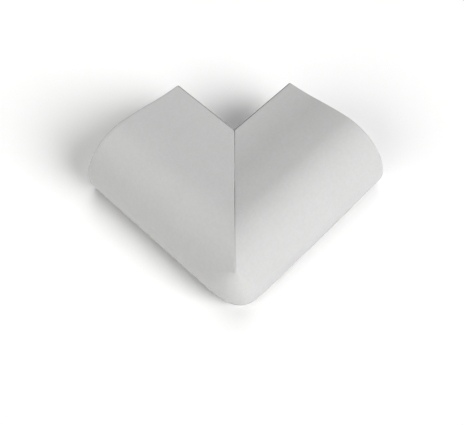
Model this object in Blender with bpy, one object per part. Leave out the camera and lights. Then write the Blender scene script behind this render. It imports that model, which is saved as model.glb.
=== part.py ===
# Soft foam guard for the corner of a table: one strip with a hooked section, notched in its
# flange, folded to a right angle and closed along a mitre seam.
#
# Metres, +Z up. The guard lies on the rim of its wall, as it would on a bench, and its origin is
# the middle of its box on that surface. Its arms run along +X and +Y from the outer corner, and
# the table's corner goes in below the flange, from the +X +Y side.

import math

import bmesh
import bpy
from mathutils import Vector

# Plan of the guard
ARM_LENGTH = 0.060
FLANGE_DEPTH = 0.037

# Radii of the outer side, from the rim of the wall up over the nose and down to the flange
RIM_RADIUS = 0.0015
NOSE_RADIUS = 0.0135
SHOULDER_RADIUS = 0.0866

# Direction of the outline where two arcs meet, in degrees above the inward direction
RIM_HEADING = 113.5
SHOULDER_HEADING = -7.5
DIP_HEADING = -14.4
LIP_HEADING = -6.9

# Inner side of the section
LIP_THICKNESS = 0.0046
WALL_THICKNESS = 0.0090
EDGE_RADIUS = 0.0008
RECESS_FILLET = 0.0006

# Outer corner: the notch is closed down to the end of the seam, and below it the wall bends
SEAM_END_INSET = 0.0047
SEAM_WIDTH = 0.0006
SEAM_DEPTH = 0.0005
CORNER_RADIUS = 0.0074

# Fineness of the faceted solid
STEP_ANGLE = 5.0
LEAST_STEPS = 4
CORNER_STEPS = 14
WELD_DISTANCE = 0.000001
SMOOTH_ANGLE = 35.0

FOAM_COLOUR = (0.58, 0.58, 0.57, 1.0)
FOAM_ROUGHNESS = 0.85

# Headings of the outline's straight runs and turning points, in degrees
INWARD = 0.0
UPWARD = 90.0
OUTWARD = 180.0
DOWNWARD = -90.0
OUTWARD_BELOW = -180.0


class Outline:
    """A section drawn as a pen walks it, by its inset from the outer side and its height.

    Each point keeps the heading there and the zone it belongs to: foot, bend, seam or recess.
    """

    def __init__(self, inset, height, heading, zone):
        self.inset = inset
        self.height = height
        self.heading = heading
        self.zone = zone
        self.points = []
        self.mark()

    def mark(self):
        self.points.append((self.inset, self.height, self.heading, self.zone))

    def straight(self, distance):
        angle = math.radians(self.heading)
        self.inset += distance * math.cos(angle)
        self.height += distance * math.sin(angle)
        self.mark()

    def arc(self, heading, radius):
        """Turns to the new heading on a circle, to the right where the heading falls."""
        start = self.heading
        side = 1.0 if heading < start else -1.0
        centre_inset = self.inset + side * radius * math.sin(math.radians(start))
        centre_height = self.height - side * radius * math.cos(math.radians(start))
        steps = max(LEAST_STEPS, math.ceil(abs(heading - start) / STEP_ANGLE))
        for step in range(1, steps + 1):
            self.heading = start + (heading - start) * step / steps
            angle = math.radians(self.heading)
            self.inset = centre_inset - side * radius * math.sin(angle)
            self.height = centre_height + side * radius * math.cos(angle)
            self.mark()

    def arc_across(self, inset, heading):
        """Turns to the new heading on the one arc that also reaches the given inset."""
        middle = math.radians((self.heading + heading) / 2.0)
        half_turn = math.radians(abs(heading - self.heading) / 2.0)
        chord = (inset - self.inset) / math.cos(middle)
        self.arc(heading, chord / (2.0 * math.sin(half_turn)))


def rim_inset():
    """Inset of the line where the nose meets the small round of the rim."""
    return NOSE_RADIUS * (1.0 - math.sin(math.radians(RIM_HEADING)))


def bend_centre():
    """Inset of the upright axis that the rim bends round at the outer corner."""
    return rim_inset() + CORNER_RADIUS


def seam_heading():
    """Heading of the nose at the end of the seam."""
    return math.degrees(math.asin(1.0 - SEAM_END_INSET / NOSE_RADIUS))


def section():
    """The strip's closed section, from the outer end of its flat foot round to the inner end."""
    foot_inset = rim_inset() + RIM_RADIUS * math.sin(math.radians(RIM_HEADING))
    pen = Outline(foot_inset, 0.0, OUTWARD, "foot")
    pen.arc(RIM_HEADING, RIM_RADIUS)
    pen.zone = "bend"
    pen.arc(UPWARD, NOSE_RADIUS)
    pen.arc(seam_heading(), NOSE_RADIUS)

    pen.zone = "seam"
    pen.arc(INWARD, NOSE_RADIUS)
    pen.arc(SHOULDER_HEADING, NOSE_RADIUS)
    pen.arc(DIP_HEADING, SHOULDER_RADIUS)
    lip_round = EDGE_RADIUS * (1.0 + math.sin(math.radians(LIP_HEADING)))
    pen.arc_across(FLANGE_DEPTH - lip_round, LIP_HEADING)
    underside = pen.height - LIP_THICKNESS
    pen.arc(DOWNWARD, EDGE_RADIUS)
    pen.straight(pen.height - EDGE_RADIUS - underside)
    pen.arc(OUTWARD_BELOW, EDGE_RADIUS)

    # The underside and the inner face of the wall meet in a square corner with a small fillet
    pen.straight(pen.inset - WALL_THICKNESS - RECESS_FILLET)
    pen.zone = "recess"
    pen.arc(DOWNWARD, RECESS_FILLET)
    pen.straight(pen.height - EDGE_RADIUS)
    pen.zone = "foot"
    pen.arc(OUTWARD_BELOW, EDGE_RADIUS)
    return pen.points


def round_corner(inset, height, radius):
    """Points on a quarter turn about an upright axis, tangent to both arms."""
    places = []
    for step in range(CORNER_STEPS + 1):
        angle = math.radians(180.0 + 90.0 * step / CORNER_STEPS)
        x = inset + radius * (1.0 + math.cos(angle))
        y = inset + radius * (1.0 + math.sin(angle))
        places.append((x, y, height))
    return places


def mitred_corner(inset, height, heading):
    """Points across the closed notch, which shows as a shallow V along the mitre."""
    half = SEAM_WIDTH / 2.0
    angle = math.radians(heading)
    sunk_inset = inset + SEAM_DEPTH * math.sin(angle)
    sunk_height = height - SEAM_DEPTH * math.cos(angle)
    bottom = (sunk_inset, sunk_inset, sunk_height)
    middle = [bottom] * (CORNER_STEPS - 1)
    return [(inset, inset + half, height)] + middle + [(inset + half, inset, height)]


def corner_points(inset, height, heading, zone):
    """The outer corner's share of one line along the strip, with CORNER_STEPS + 1 points."""
    if zone == "seam":
        return mitred_corner(inset, height, heading)
    if zone == "bend":
        # A cone that opens from the end of the seam down to the rim
        share = (heading - seam_heading()) / (RIM_HEADING - seam_heading())
        return round_corner(inset, height, CORNER_RADIUS * share)
    if zone == "foot":
        return round_corner(inset, height, max(0.0, bend_centre() - inset))
    return round_corner(inset, height, 0.0)


def guard_mesh():
    """Lofts the section round the corner, where its sharp mitre turns into a round bend."""
    centre = Vector((ARM_LENGTH / 2.0, ARM_LENGTH / 2.0, 0.0))
    grid = bmesh.new()
    lines = []
    for inset, height, heading, zone in section():
        places = [(inset, ARM_LENGTH, height)]
        places += corner_points(inset, height, heading, zone)
        places.append((ARM_LENGTH, inset, height))
        lines.append([grid.verts.new(Vector(place) - centre) for place in places])
    for line, following in zip(lines, lines[1:] + lines[:1]):
        for here in range(len(line) - 1):
            there = here + 1
            grid.faces.new((line[here], line[there], following[there], following[here]))
    grid.faces.new([line[0] for line in lines])
    grid.faces.new([line[-1] for line in reversed(lines)])
    bmesh.ops.remove_doubles(grid, verts=grid.verts, dist=WELD_DISTANCE)
    bmesh.ops.recalc_face_normals(grid, faces=grid.faces)
    mesh = bpy.data.meshes.new("corner_guard")
    grid.to_mesh(mesh)
    grid.free()
    mesh.shade_smooth()
    mesh.set_sharp_from_angle(angle=math.radians(SMOOTH_ANGLE))
    return mesh


def foam_material():
    material = bpy.data.materials.new("light_grey_foam")
    material.use_nodes = True
    shader = material.node_tree.nodes["Principled BSDF"]
    shader.inputs["Base Color"].default_value = FOAM_COLOUR
    shader.inputs["Roughness"].default_value = FOAM_ROUGHNESS
    shader.inputs["Metallic"].default_value = 0.0
    return material


def build():
    for obj in list(bpy.data.objects):
        bpy.data.objects.remove(obj, do_unlink=True)
    parts = bpy.data.collections.new("furniture_corner_guard")
    bpy.context.scene.collection.children.link(parts)
    guard = bpy.data.objects.new("corner_guard", guard_mesh())
    guard.data.materials.append(foam_material())
    parts.objects.link(guard)


build()
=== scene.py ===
# A light grey foam corner guard for furniture, lying on white paper under soft light.
# Lengths are in metres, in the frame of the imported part: +Z up, arms along +X and +Y.
import math

import bmesh
import bpy
from mathutils import Matrix, Vector


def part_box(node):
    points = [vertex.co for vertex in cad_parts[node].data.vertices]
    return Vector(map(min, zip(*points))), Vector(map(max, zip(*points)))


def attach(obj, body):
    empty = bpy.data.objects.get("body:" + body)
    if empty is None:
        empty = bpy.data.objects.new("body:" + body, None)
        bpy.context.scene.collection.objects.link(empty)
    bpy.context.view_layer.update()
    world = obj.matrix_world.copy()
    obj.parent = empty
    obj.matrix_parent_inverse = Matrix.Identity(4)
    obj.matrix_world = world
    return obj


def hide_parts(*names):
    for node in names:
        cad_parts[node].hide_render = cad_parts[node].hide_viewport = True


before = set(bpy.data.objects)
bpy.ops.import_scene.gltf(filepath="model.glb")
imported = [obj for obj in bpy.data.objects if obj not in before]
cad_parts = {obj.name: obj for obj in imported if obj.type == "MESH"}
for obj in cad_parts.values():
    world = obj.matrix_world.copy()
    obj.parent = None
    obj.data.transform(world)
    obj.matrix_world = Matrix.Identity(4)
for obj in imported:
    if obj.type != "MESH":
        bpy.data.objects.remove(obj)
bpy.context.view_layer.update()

guardLow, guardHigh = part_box("corner_guard")
scene = bpy.context.scene
print("frame loaded, nodes:", ", ".join(sorted(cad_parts)))


def sine(degrees):
    return math.sin(math.radians(degrees))


def cosine(degrees):
    return math.cos(math.radians(degrees))


def clamped(share):
    return min(1.0, max(0.0, share))


# Colours are written as on a screen and turned to linear light here
def linear(hexColour):
    channels = [int(hexColour[start:start + 2], 16) / 255.0 for start in (1, 3, 5)]
    curved = [c / 12.92 if c <= 0.04045 else ((c + 0.055) / 1.055) ** 2.4 for c in channels]
    return (*curved, 1.0)


# Adds a node, sets its properties and its inputs, and links an input that is given a socket
def addNode(tree, kind, settings=None, inputs=None):
    node = tree.nodes.new(kind)
    for name, value in (settings or {}).items():
        setattr(node, name, value)
    for name, value in (inputs or {}).items():
        if isinstance(value, bpy.types.NodeSocket):
            tree.links.new(value, node.inputs[name])
        else:
            node.inputs[name].default_value = value
    return node


def newMaterial(name, shaderValues):
    material = bpy.data.materials.new(name)
    material.use_nodes = True
    tree = material.node_tree
    shader = tree.nodes["Principled BSDF"]
    for socket, value in shaderValues.items():
        shader.inputs[socket].default_value = value
    return material, tree, shader


# Closed-cell NBR foam with its moulded skin: quite matt, a fine pebble, faint cloudiness and
# specks in its grey from uneven blowing
skin = {
    "ior": 1.46,
    "cloud": {"mm": 9.0, "detail": 3.0, "dark": "#C9C9C9", "light": "#CCCCCC"},
    "speck": {"mm": 0.9, "detail": 2.0, "dark": "#C9C9C9", "light": "#CDCDCD"},
    "toneRange": (0.35, 0.65),  # of the noise, from dark to light
    "speckShare": 0.5,
    "paintedShade": "#A8A8A8",  # painted shade along the flanges' free edges and the rounded cut ends, which turn away from the light
    "roughRange": (0.3, 0.7),  # of the cloud's noise, from low to high
    "roughLow": 0.74,
    "roughHigh": 0.9,
    "pebbleMm": 0.7,  # real pebble is about 0.2 mm, drawn coarser so that it shows
    "pebbleDepthMm": 0.035,
    "pebbleSoftness": 0.6,
    "pebbleStrength": 0.35,
}


def foamSkin():
    material, tree, shader = newMaterial("nbr_foam_skin", {"IOR": skin["ior"], "Metallic": 0.0})
    where = addNode(tree, "ShaderNodeTexCoord").outputs["Object"]
    noises = {}
    tones = {}
    for name in ("cloud", "speck"):
        grain = skin[name]
        noise = addNode(tree, "ShaderNodeTexNoise", {"noise_dimensions": "3D"},
                        {"Vector": where, "Scale": 1000.0 / grain["mm"], "Detail": grain["detail"]})
        tone = addNode(tree, "ShaderNodeValToRGB", None, {"Fac": noise.outputs["Fac"]})
        for stop, place, shade in zip(tone.color_ramp.elements, skin["toneRange"], ("dark", "light")):
            stop.position = place
            stop.color = linear(grain[shade])
        noises[name] = noise.outputs["Fac"]
        tones[name] = tone.outputs["Color"]
    colour = addNode(tree, "ShaderNodeMix", {"data_type": "RGBA"}, {"Factor": skin["speckShare"]})
    tree.links.new(tones["cloud"], colour.inputs["A"])
    tree.links.new(tones["speck"], colour.inputs["B"])
    # Painted shade: the free edges and the rounded ends are blended towards a darker grey
    paintedShade = addNode(tree, "ShaderNodeAttribute", {"attribute_name": "paintedEdgeShade"})
    shaded = addNode(tree, "ShaderNodeMix", {"data_type": "RGBA"}, {"Factor": paintedShade.outputs["Fac"]})
    tree.links.new(colour.outputs["Result"], shaded.inputs["A"])
    shaded.inputs["B"].default_value = linear(skin["paintedShade"])
    tree.links.new(shaded.outputs["Result"], shader.inputs["Base Color"])
    rough = addNode(tree, "ShaderNodeMapRange", None,
                    {"Value": noises["cloud"],
                     "From Min": skin["roughRange"][0], "From Max": skin["roughRange"][1],
                     "To Min": skin["roughLow"], "To Max": skin["roughHigh"]})
    tree.links.new(rough.outputs["Result"], shader.inputs["Roughness"])
    pebble = addNode(tree, "ShaderNodeTexVoronoi", {"feature": "SMOOTH_F1"},
                     {"Vector": where, "Scale": 1000.0 / skin["pebbleMm"],
                      "Smoothness": skin["pebbleSoftness"]})
    bump = addNode(tree, "ShaderNodeBump", None,
                   {"Height": pebble.outputs["Distance"], "Strength": skin["pebbleStrength"],
                    "Distance": skin["pebbleDepthMm"] / 1000.0})
    tree.links.new(bump.outputs["Normal"], shader.inputs["Normal"])
    return material


# The same foam where a blade went through it: open cells, so rougher and pitted, with painted shade
# darkening each pit
cut = {
    "ior": 1.46,
    "roughness": 0.95,
    "paintedPitShade": "#B2B2B2",
    "wall": "#CACACA",
    "cellRange": (0.12, 0.42),  # of the distance from a cell's middle, from pit to wall
    "cellMm": 0.45,  # real cells are about 0.2 mm, drawn coarser so that they show
    "pitDepthMm": 0.12,
    "pitStrength": 0.5,
}


def foamCut():
    material, tree, shader = newMaterial("nbr_foam_cut",
                                         {"IOR": cut["ior"], "Roughness": cut["roughness"]})
    where = addNode(tree, "ShaderNodeTexCoord").outputs["Object"]
    cells = addNode(tree, "ShaderNodeTexVoronoi", {"feature": "F1"},
                    {"Vector": where, "Scale": 1000.0 / cut["cellMm"]})
    tone = addNode(tree, "ShaderNodeValToRGB", None, {"Fac": cells.outputs["Distance"]})
    # painted shade: the middle of each cell, the bottom of its hollow, is darker
    for stop, place, shade in zip(tone.color_ramp.elements, cut["cellRange"], ("paintedPitShade", "wall")):
        stop.position = place
        stop.color = linear(cut[shade])
    tree.links.new(tone.outputs["Color"], shader.inputs["Base Color"])
    bump = addNode(tree, "ShaderNodeBump", None,
                   {"Height": cells.outputs["Distance"], "Strength": cut["pitStrength"],
                    "Distance": cut["pitDepthMm"] / 1000.0})
    tree.links.new(bump.outputs["Normal"], shader.inputs["Normal"])
    return material


# The guard: one strip of foam with a hooked section, notched, folded and closed on a mitre.
# Headings are in degrees above the inward direction, as the outline is walked from its foot.
guard = {
    "armLength": guardHigh[0] - guardLow[0],
    "flangeDepth": 0.037,
    "rimRadius": 0.0015,
    "noseRadius": 0.0135,
    "shoulderRadius": 0.0866,
    "rimHeading": 113.5,
    "shoulderHeading": -7.5,
    "dipHeading": -14.4,
    "lipHeading": -5.5,
    "lipThickness": 0.0046,
    "wallThickness": 0.0090,
    "edgeRadius": 0.0008,
    "recessFillet": 0.0006,
    "seamEndInset": 0.0044,
    "seamWidth": 0.0011,
    "seamDepth": 0.00026,
    "seamSharpness": 1.5,  # 1 for a V with straight sides, more for a narrower bottom
    "tightInset": 0.0125,  # the mitre is pressed tight from here down to its end
    "tightDepth": 0.00014,
    "tightWidth": 0.5,  # share of the seam's width
    "tightFade": 0.005,
    "pinchInset": 0.028,  # and once more in the flange
    "pinchReach": 0.0055,
    "pinch": 0.7,
    "seamLead": 0.010,
    "foldReachY": 0.0160,  # the fold is drawn out further along the +Y arm
    "foldReachX": 0.0105,
    "foldOpening": 0.48,  # how fast the fold opens below the seam, 1 for a cone
    "foldEase": 0.012,  # how softly it starts to
    "seamSquareness": 8.0,  # 2 for a round turn in plan, more for a tighter one with longer tails
    "foldSquareness": 1.9,
    "rimSquareness": 3.9,
    "rimLateness": 3.0,  # how close to the rim the fold keeps its round turn
    "splay": 0.7,  # share by which the foot of the +X arm's wall is pressed outward, 1 for upright
    "paintedShadeFrom": 15.0,  # heading below the inward direction where the painted shade on the free edge starts
    "paintedShadeFull": 25.0,
    "paintedShadeFade": 60.0,  # and how far before the underside it starts to fade
    # painted shade on the rounded cut ends, growing as they turn
    "paintedEndShade": 0.4,
    "arcStep": 2.0,
    "arcLeast": 4,
    "outlineStep": 0.0009,
    "armSteps": 64,
    "cornerSteps": 24,
    "endRound": 0.0004,
    "endSteps": 4,
    "mergeDistance": 0.000002,
    "sharpAngle": 50.0,
    "capSides": 20,  # only the cut ends have as many sides
}
toward = {"inside": 0.0, "up": 90.0, "outside": 180.0, "down": -90.0, "outsideBelow": -180.0}
zones = {"foot": 0, "bend": 1, "seam": 2, "recess": 3}

rimInset = guard["noseRadius"] * (1.0 - sine(guard["rimHeading"]))
rimHeight = guard["rimRadius"] * (1.0 + cosine(guard["rimHeading"]))
noseHeight = rimHeight - guard["noseRadius"] * cosine(guard["rimHeading"])
seamHeading = math.degrees(math.asin(1.0 - guard["seamEndInset"] / guard["noseRadius"]))


# Walks round the section in the plane y = 0, x the inset and z the height, spinning and
# extruding one vertex. Every vertex keeps its inset, height, heading and zone.
class Pen:
    def __init__(self, grid, inset, height, heading, zone):
        layers = grid.verts.layers
        self.grid = grid
        self.keptInset = layers.float.new("inset")
        self.keptHeight = layers.float.new("height")
        self.keptHeading = layers.float.new("heading")
        self.keptZone = layers.int.new("zone")
        self.paintedEdgeShade = layers.float.new("paintedEdgeShade")
        self.heading = heading
        self.zone = zone
        self.first = self.head = grid.verts.new((inset, 0.0, height))
        self.keep([self.head], [heading])

    def keep(self, verts, headings):
        for vert, heading in zip(verts, headings):
            vert[self.keptInset] = vert.co.x
            vert[self.keptHeight] = vert.co.z
            vert[self.keptHeading] = heading
            vert[self.keptZone] = zones[self.zone]

    def straight(self, distance):
        steps = max(1, round(distance / guard["outlineStep"]))
        stride = Vector((cosine(self.heading), 0.0, sine(self.heading))) * (distance / steps)
        for step in range(steps):
            made = bmesh.ops.extrude_vert_indiv(self.grid, verts=[self.head])["verts"]
            bmesh.ops.translate(self.grid, verts=made, vec=stride)
            self.keep(made, [self.heading])
            self.head = made[0]

    def arc(self, heading, radius):
        side = 1.0 if heading < self.heading else -1.0
        across = Vector((sine(self.heading), 0.0, -cosine(self.heading)))
        centre = self.head.co + across * (side * radius)
        turn = heading - self.heading
        length = abs(math.radians(turn)) * radius
        steps = max(guard["arcLeast"], math.ceil(abs(turn) / guard["arcStep"]),
                    round(length / guard["outlineStep"]))
        before = len(self.grid.verts)
        bmesh.ops.spin(self.grid, geom=[self.head], cent=centre, axis=(0.0, 1.0, 0.0),
                       angle=-math.radians(turn), steps=steps)
        self.grid.verts.ensure_lookup_table()
        made = self.grid.verts[before:]
        self.keep(made, [self.heading + turn * (at + 1) / steps for at in range(steps)])
        self.head = made[-1]
        self.heading = heading

    # The one arc that ends at the given inset with the given heading
    def arcAcross(self, inset, heading):
        middle = (self.heading + heading) / 2.0
        chord = (inset - self.head.co.x) / cosine(middle)
        self.arc(heading, chord / (2.0 * sine(abs(heading - self.heading) / 2.0)))


def drawSection(grid):
    footInset = rimInset + guard["rimRadius"] * sine(guard["rimHeading"])
    pen = Pen(grid, footInset, 0.0, toward["outside"], "foot")
    pen.arc(guard["rimHeading"], guard["rimRadius"])
    pen.zone = "bend"
    pen.arc(toward["up"], guard["noseRadius"])
    pen.arc(seamHeading, guard["noseRadius"])
    pen.zone = "seam"
    pen.arc(toward["inside"], guard["noseRadius"])
    pen.arc(guard["shoulderHeading"], guard["noseRadius"])
    pen.arc(guard["dipHeading"], guard["shoulderRadius"])
    lipRound = guard["edgeRadius"] * (1.0 + sine(guard["lipHeading"]))
    pen.arcAcross(guard["flangeDepth"] - lipRound, guard["lipHeading"])
    underside = pen.head.co.z - guard["lipThickness"]
    pen.arc(toward["down"], guard["edgeRadius"])
    pen.straight(pen.head.co.z - guard["edgeRadius"] - underside)
    pen.arc(toward["outsideBelow"], guard["edgeRadius"])
    pen.straight(pen.head.co.x - guard["wallThickness"] - guard["recessFillet"])
    pen.zone = "recess"
    pen.arc(toward["down"], guard["recessFillet"])
    pen.straight(pen.head.co.z - guard["edgeRadius"])
    pen.zone = "foot"
    pen.arc(toward["outsideBelow"], guard["edgeRadius"])
    pen.straight(pen.head.co.x - footInset)
    bmesh.ops.weld_verts(grid, targetmap={pen.head: pen.first})
    return pen


# How far clear of the seam's tight end a vertex is, as a share
def clearAt(inset):
    return clamped((inset - guard["tightInset"]) / guard["tightFade"])


# How near the outer side of the wall a vertex is, as a share
def outerAt(inset):
    return clamped(1.0 - (inset - rimInset) / (guard["wallThickness"] - rimInset))


# How far before the outer corner a vertex of the section starts to turn, as shares of the fold's
# reach and of the seam's width, and how square its turn is
def foldAt(inset, heading, zone):
    if zone == zones["seam"]:
        above = clamped((inset - guard["seamEndInset"]) / guard["seamLead"])
        tighter = (guard["seamSquareness"] - guard["foldSquareness"]) * above
        closed = guard["tightWidth"] + (1.0 - guard["tightWidth"]) * clearAt(inset)
        return 0.0, closed, guard["foldSquareness"] + tighter
    if zone == zones["bend"]:
        share = clamped((heading - seamHeading) / (guard["rimHeading"] - seamHeading))
        least = guard["foldEase"] ** guard["foldOpening"]
        most = (1.0 + guard["foldEase"]) ** guard["foldOpening"]
        opened = ((share + guard["foldEase"]) ** guard["foldOpening"] - least) / (most - least)
        tighter = (guard["rimSquareness"] - guard["foldSquareness"]) * share ** guard["rimLateness"]
        closed = guard["tightWidth"] * (1.0 - opened)
        return opened, closed, guard["foldSquareness"] + tighter
    if zone == zones["foot"]:
        return outerAt(inset), 0.0, guard["rimSquareness"]
    return 0.0, 0.0, 2.0


# How deep the closed seam is at a vertex, halfway over the corner
def seamDepthAt(inset):
    pinched = clamped(1.0 - abs(inset - guard["pinchInset"]) / guard["pinchReach"])
    depth = guard["seamDepth"] * (1.0 - guard["pinch"] * math.sqrt(pinched))
    return guard["tightDepth"] + (depth - guard["tightDepth"]) * clearAt(inset)


# How far the +X arm's wall is pressed outward at a vertex, most at its foot and less towards the
# arm's end
def splayAt(inset, height, zone, station):
    if zone in (zones["seam"], zones["recess"]) or height > noseHeight or station <= 0.0:
        return 0.0
    along = max(0.0, station - 1.0)
    amount = guard["splay"] * min(1.0, station) * (1.0 - along ** 2)
    curl = guard["noseRadius"] - math.sqrt(guard["noseRadius"] ** 2 - (noseHeight - height) ** 2)
    return amount * curl * outerAt(inset)


# How much painted shade darkens the flange's free edge at a vertex, as a share
def paintedShadeAt(heading, zone):
    if zone != zones["seam"]:
        return 0.0
    begun = (-heading - guard["paintedShadeFrom"]) / (guard["paintedShadeFull"] - guard["paintedShadeFrom"])
    left = (heading - toward["outsideBelow"]) / guard["paintedShadeFade"]
    return clamped(min(begun, left))


# Where a vertex of the section lies at a station along the strip. Stations run from -1, where the
# end of the +Y arm starts to round, over the corner from 0 to 1, to 2, the same on the +X arm.
def placeAt(inset, height, heading, zone, station):
    opened, closed, squareness = foldAt(inset, heading, zone)
    half = closed * guard["seamWidth"] / 2.0
    reachY = opened * guard["foldReachY"] + half
    reachX = opened * guard["foldReachX"] + half
    splay = splayAt(inset, height, zone, station)
    straightEnd = guard["armLength"] - guard["endRound"]
    if station <= 0.0:
        startY = inset + reachY
        return Vector((inset, startY - (straightEnd - startY) * station, height))
    if station >= 1.0:
        startX = inset + reachX
        return Vector((startX + (straightEnd - startX) * (station - 1.0), inset - splay, height))
    sunk = 0.0
    if zone == zones["seam"]:
        middle = 1.0 - abs(2.0 * station - 1.0)
        sunk = seamDepthAt(inset) * middle ** guard["seamSharpness"]
    power = 2.0 / squareness
    deeper = inset + sunk * sine(heading)
    x = deeper + reachX * (1.0 - cosine(90.0 * station) ** power)
    y = deeper + reachY * (1.0 - sine(90.0 * station) ** power)
    return Vector((x, y - splay, height - sunk * cosine(heading)))


def buildGuard():
    grid = bmesh.new()
    pen = drawSection(grid)
    corner = Vector((guardLow[0], guardLow[1], 0.0))

    # At a turn above 0 the ring is drawn into the section and out to the end, to round its edge
    def settle(verts, station, turn=0.0):
        drawn = guard["endRound"] * (1.0 - cosine(turn))
        further = guard["endRound"] * sine(turn)
        along = Vector((0.0, further, 0.0)) if station < 0.0 else Vector((further, 0.0, 0.0))
        for vert in verts:
            heading = vert[pen.keptHeading]
            zone = vert[pen.keptZone]
            inset = vert[pen.keptInset] + drawn * sine(heading)
            height = vert[pen.keptHeight] - drawn * cosine(heading)
            vert.co = corner + along + placeAt(inset, height, heading, zone, station)
            # painted shade on the free edge, and on the rounded ends as they turn
            vert[pen.paintedEdgeShade] = max(paintedShadeAt(heading, zone), guard["paintedEndShade"] * sine(turn))

    def pullOn(ring, station, turn=0.0):
        made = bmesh.ops.extrude_edge_only(grid, edges=ring)["geom"]
        settle([part for part in made if isinstance(part, bmesh.types.BMVert)], station, turn)
        return [part for part in made if isinstance(part, bmesh.types.BMEdge)
                and len(part.link_faces) == 1]

    armStations = [step / guard["armSteps"] for step in range(guard["armSteps"] + 1)]
    cornerStations = [step / guard["cornerSteps"] for step in range(1, guard["cornerSteps"])]
    turns = [90.0 * step / guard["endSteps"] for step in range(1, guard["endSteps"] + 1)]
    ring = list(grid.edges)
    settle(grid.verts, -1.0, turns[-1])
    bmesh.ops.contextual_create(grid, geom=ring)
    for turn in turns[-2::-1]:
        ring = pullOn(ring, -1.0, turn)
    for station in [share - 1.0 for share in armStations] + cornerStations:
        ring = pullOn(ring, station)
    for station in armStations:
        ring = pullOn(ring, 1.0 + station)
    for turn in turns:
        ring = pullOn(ring, 2.0, turn)
    bmesh.ops.contextual_create(grid, geom=ring)
    bmesh.ops.remove_doubles(grid, verts=grid.verts, dist=guard["mergeDistance"])
    bmesh.ops.recalc_face_normals(grid, faces=grid.faces)
    for face in grid.faces:
        face.smooth = len(face.verts) < guard["capSides"]
        face.material_index = 0 if face.smooth else 1
    mesh = bpy.data.meshes.new("foam_guard")
    grid.to_mesh(mesh)
    grid.free()
    mesh.set_sharp_from_angle(angle=math.radians(guard["sharpAngle"]))
    piece = bpy.data.objects.new("foam_guard", mesh)
    scene.collection.objects.link(piece)
    return piece


foamGuard = buildGuard()
foamGuard.data.materials.append(foamSkin())
foamGuard.data.materials.append(foamCut())
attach(foamGuard, "root")
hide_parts("corner_guard")
print("foam guard made,", len(foamGuard.data.polygons), "faces")


# White seamless paper, brightly lit and without gloss
floor = {"size": 12.0, "colour": "#FBFBFB", "roughness": 0.9, "specular": 0.0}


def buildFloor():
    grid = bmesh.new()
    bmesh.ops.create_grid(grid, x_segments=1, y_segments=1, size=floor["size"] / 2.0)
    mesh = bpy.data.meshes.new("paper_floor")
    grid.to_mesh(mesh)
    grid.free()
    material, tree, shader = newMaterial("white_paper", {
        "Base Color": linear(floor["colour"]),
        "Roughness": floor["roughness"],
        "Specular IOR Level": floor["specular"],
    })
    mesh.materials.append(material)
    piece = bpy.data.objects.new("paper_floor", mesh)
    scene.collection.objects.link(piece)


buildFloor()
print("floor laid")


# Soft studio light, all from wide even sources: the key low in front of the +X arm, a fill on the
# left and a top light from behind. Angles are degrees, from -Y towards +X and above the floor, and
# a strength of pi makes white paper that faces the light just white.
lights = {
    "key": {
        "azimuth": 13.0, "elevation": 33.0, "spread": 44.0,
        "strength": 2.72, "colour": "#FFFFFF",
    },
    "fill": {
        "azimuth": 268.0, "elevation": 13.0, "spread": 80.0,
        "strength": 2.42, "colour": "#FFFFFC",
    },
    "top": {
        "azimuth": 135.0, "elevation": 56.0, "spread": 56.0,
        "strength": 1.36, "colour": "#FFFFFF",
    },
}
room = {"colour": "#FFFFFF", "glow": 0.02, "backdrop": 1.0}


def directionTo(azimuth, elevation):
    return Vector((sine(azimuth) * cosine(elevation), -cosine(azimuth) * cosine(elevation),
                   sine(elevation)))


def buildLights():
    for name, values in lights.items():
        lamp = bpy.data.lights.new(name, "SUN")
        lamp.energy = values["strength"]
        lamp.angle = math.radians(values["spread"])
        lamp.color = linear(values["colour"])[:3]
        piece = bpy.data.objects.new(name, lamp)
        piece.rotation_mode = "QUATERNION"
        towards = directionTo(values["azimuth"], values["elevation"])
        piece.rotation_quaternion = towards.to_track_quat("Z", "Y")
        scene.collection.objects.link(piece)


# The room beyond the paper looks white and adds next to no light of its own
def buildRoom():
    world = bpy.data.worlds.new("white_room")
    world.use_nodes = True
    tree = world.node_tree
    seen = addNode(tree, "ShaderNodeLightPath").outputs["Is Camera Ray"]
    strength = addNode(tree, "ShaderNodeMapRange", None,
                       {"Value": seen, "To Min": room["glow"], "To Max": room["backdrop"]})
    background = tree.nodes["Background"]
    background.inputs["Color"].default_value = linear(room["colour"])
    tree.links.new(strength.outputs["Result"], background.inputs["Strength"])
    scene.world = world


buildRoom()
buildLights()
print("lights set")


# The photograph's view, down on the outer corner: where the camera stands, from which azimuth and
# elevation it looks, and how far it is rolled, in degrees as for the lights
view = {
    "width": 464,  # pixels
    "focal": 959.2,  # pixels
    "place": (-0.10019, -0.10689, 0.2404),
    "azimuth": -42.534,
    "elevation": 60.128,
    "roll": -3.262,
    "sensor": 36.0,
    "near": 0.01,
    "far": 20.0,
    "gamma": 0.714,  # the contrast of the photograph's print
}


def buildCamera():
    data = bpy.data.cameras.new("camera")
    data.sensor_width = view["sensor"]
    data.lens = view["focal"] / view["width"] * view["sensor"]
    data.clip_start = view["near"]
    data.clip_end = view["far"]
    camera = bpy.data.objects.new("camera", data)
    swing = Matrix.Rotation(math.radians(view["azimuth"]), 4, "Z")
    tilt = Matrix.Rotation(math.radians(90.0 - view["elevation"]), 4, "X")
    roll = Matrix.Rotation(math.radians(view["roll"]), 4, "Z")
    camera.matrix_world = Matrix.Translation(view["place"]) @ swing @ tilt @ roll
    scene.collection.objects.link(camera)
    scene.camera = camera


buildCamera()
scene.view_settings.view_transform = "Standard"
scene.view_settings.gamma = view["gamma"]
print("camera set")
